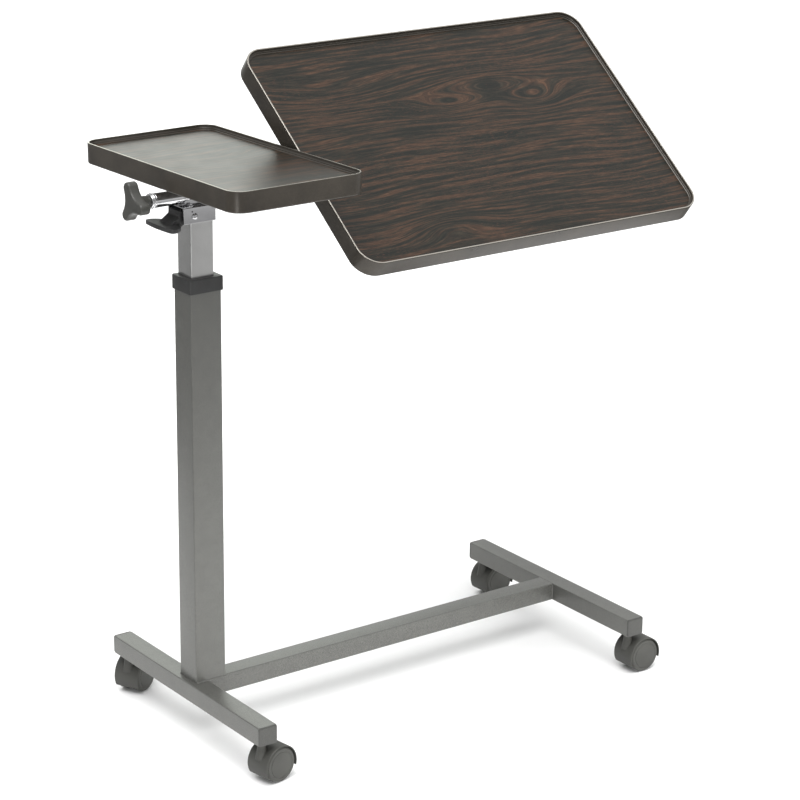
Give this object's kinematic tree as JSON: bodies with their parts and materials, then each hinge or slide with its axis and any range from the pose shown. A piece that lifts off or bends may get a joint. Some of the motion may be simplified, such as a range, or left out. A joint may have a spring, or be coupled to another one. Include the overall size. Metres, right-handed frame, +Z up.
{
  "type": "overbed table",
  "caption": "Rolling overbed table: H-shaped caster base, telescopic lever-release mast, small fixed top and large tilting top with raised rims.",
  "frame": {"origin": "middle of the whole table's box at floor level", "axes": "+Z up; +X from the mast towards the large top's free end, along the crossbar; +Y towards the raised rear edge of the large top"},
  "size_m": [0.874, 0.4278, 0.9694],
  "materials": {
    "powder_coat": "silver-vein powder coat, satin",
    "socket_steel": "zinc-plated steel",
    "black_plastic": "black moulded plastic, satin",
    "guide_plastic": "off-white bearing plastic",
    "inner_steel": "ground steel",
    "chrome": "bright chrome plate",
    "laminate": "dark walnut wood-grain laminate on particle board",
    "edge_moulding": "dark bronze-brown moulding, satin",
    "knob_plastic": "dark grey moulded plastic",
    "caster_hood_plastic": "warm dark grey nylon, matt",
    "wheel_plastic": "warm dark grey nylon, matt"
  },
  "bodies": {
    "base": {"foot_left": "powder_coat", "foot_right": "powder_coat", "crossbar": "powder_coat", "end_cap_left_front": "powder_coat", "end_cap_left_rear": "powder_coat", "end_cap_right_front": "powder_coat", "end_cap_right_rear": "powder_coat", "stem_socket_left_front": "socket_steel", "stem_socket_left_rear": "socket_steel", "stem_socket_right_front": "socket_steel", "stem_socket_right_rear": "socket_steel", "mast_tube": "powder_coat", "mast_collar": "black_plastic", "upper_guide": "guide_plastic", "spring_anchor": "inner_steel", "spring_cylinder": "inner_steel"},
    "lift": {"inner_tube": "chrome", "lower_glide": "guide_plastic", "spring_rod": "inner_steel", "rod_plate": "inner_steel", "head_bracket": "chrome", "lever_pivot_pin": "chrome", "tube_saddle": "chrome", "support_tube": "chrome", "shaft_bush_left": "guide_plastic", "shaft_bush_right": "guide_plastic", "small_board": "laminate", "small_rim": "edge_moulding", "small_saddle_left": "chrome", "small_saddle_right": "chrome"},
    "lever": {"release_lever": "black_plastic", "release_pin": "inner_steel"},
    "tilt_top": {"tilt_shaft": "chrome", "large_board": "laminate", "large_rim": "edge_moulding", "large_saddle_left": "chrome", "large_saddle_right": "chrome"},
    "clamp": {"thrust_washer": "chrome"},
    "knob": {"clamp_knob": "knob_plastic", "knob_stud": "inner_steel"},
    "caster_left_front": {"caster_stem_left_front": "inner_steel", "caster_hood_left_front": "caster_hood_plastic", "caster_axle_left_front": "inner_steel"},
    "wheel_a_left_front": {"wheel_a_left_front": "wheel_plastic"},
    "wheel_b_left_front": {"wheel_b_left_front": "wheel_plastic"},
    "caster_left_rear": {"caster_stem_left_rear": "inner_steel", "caster_hood_left_rear": "caster_hood_plastic", "caster_axle_left_rear": "inner_steel"},
    "wheel_a_left_rear": {"wheel_a_left_rear": "wheel_plastic"},
    "wheel_b_left_rear": {"wheel_b_left_rear": "wheel_plastic"},
    "caster_right_front": {"caster_stem_right_front": "inner_steel", "caster_hood_right_front": "caster_hood_plastic", "caster_axle_right_front": "inner_steel"},
    "wheel_a_right_front": {"wheel_a_right_front": "wheel_plastic"},
    "wheel_b_right_front": {"wheel_b_right_front": "wheel_plastic"},
    "caster_right_rear": {"caster_stem_right_rear": "inner_steel", "caster_hood_right_rear": "caster_hood_plastic", "caster_axle_right_rear": "inner_steel"},
    "wheel_a_right_rear": {"wheel_a_right_rear": "wheel_plastic"},
    "wheel_b_right_rear": {"wheel_b_right_rear": "wheel_plastic"}
  },
  "joints": [
    {"name": "mast_lift", "type": "slide", "parent": "base", "child": "lift", "axis": [0, 0, 1], "range_m": [-0.075, 0.285]},
    {"name": "top_tilt", "type": "hinge", "parent": "lift", "child": "tilt_top", "pos_m": [-0.175, -0.00972, 0.8103], "axis": [1, 0, 0], "range_deg": [-82.7, 7.3]},
    {"name": "knob_turn", "type": "hinge", "parent": "clamp", "child": "knob", "pos_m": [-0.419, -0.00972, 0.8103], "axis": [-1, 0, 0], "range_deg": [0, 360]},
    {"name": "clamp_slide", "type": "slide", "parent": "tilt_top", "child": "clamp", "axis": [-1, 0, 0], "range_m": [0, 0.0015]},
    {"name": "lever_turn", "type": "hinge", "parent": "lift", "child": "lever", "pos_m": [-0.3442, -0.00653, 0.7842], "axis": [0, 1, 0], "range_deg": [0, 8], "stiffness_Nm_per_rad": 1.5, "springref_deg": -11.46},
    {"name": "swivel_left_front", "type": "hinge", "parent": "base", "child": "caster_left_front", "pos_m": [-0.349, -0.19223, 0.06], "axis": [0, 0, 1], "continuous": true},
    {"name": "roll_a_left_front", "type": "hinge", "parent": "caster_left_front", "child": "wheel_a_left_front", "pos_m": [-0.32925, -0.1891, 0.026], "axis": [-0.1564, 0.9877, 0], "continuous": true},
    {"name": "roll_b_left_front", "type": "hinge", "parent": "caster_left_front", "child": "wheel_b_left_front", "pos_m": [-0.32925, -0.1891, 0.026], "axis": [-0.1564, 0.9877, 0], "continuous": true},
    {"name": "swivel_left_rear", "type": "hinge", "parent": "base", "child": "caster_left_rear", "pos_m": [-0.349, 0.17278, 0.06], "axis": [0, 0, 1], "continuous": true},
    {"name": "roll_a_left_rear", "type": "hinge", "parent": "caster_left_rear", "child": "wheel_a_left_rear", "pos_m": [-0.33134, 0.18216, 0.026], "axis": [-0.4695, 0.8829, 0], "continuous": true},
    {"name": "roll_b_left_rear", "type": "hinge", "parent": "caster_left_rear", "child": "wheel_b_left_rear", "pos_m": [-0.33134, 0.18216, 0.026], "axis": [-0.4695, 0.8829, 0], "continuous": true},
    {"name": "swivel_right_front", "type": "hinge", "parent": "base", "child": "caster_right_front", "pos_m": [0.325, -0.19223, 0.06], "axis": [0, 0, 1], "continuous": true},
    {"name": "roll_a_right_front", "type": "hinge", "parent": "caster_right_front", "child": "wheel_a_right_front", "pos_m": [0.345, -0.19223, 0.026], "axis": [0, 1, 0], "continuous": true},
    {"name": "roll_b_right_front", "type": "hinge", "parent": "caster_right_front", "child": "wheel_b_right_front", "pos_m": [0.345, -0.19223, 0.026], "axis": [0, 1, 0], "continuous": true},
    {"name": "swivel_right_rear", "type": "hinge", "parent": "base", "child": "caster_right_rear", "pos_m": [0.325, 0.17278, 0.06], "axis": [0, 0, 1], "continuous": true},
    {"name": "roll_a_right_rear", "type": "hinge", "parent": "caster_right_rear", "child": "wheel_a_right_rear", "pos_m": [0.34499, 0.17347, 0.026], "axis": [-0.0349, 0.9994, 0], "continuous": true},
    {"name": "roll_b_right_rear", "type": "hinge", "parent": "caster_right_rear", "child": "wheel_b_right_rear", "pos_m": [0.34499, 0.17347, 0.026], "axis": [-0.0349, 0.9994, 0], "continuous": true}
  ],
  "couplings": [
    {"joint": "knob_turn", "follows": "clamp_slide", "rad_per_m": 4188.8}
  ]
}
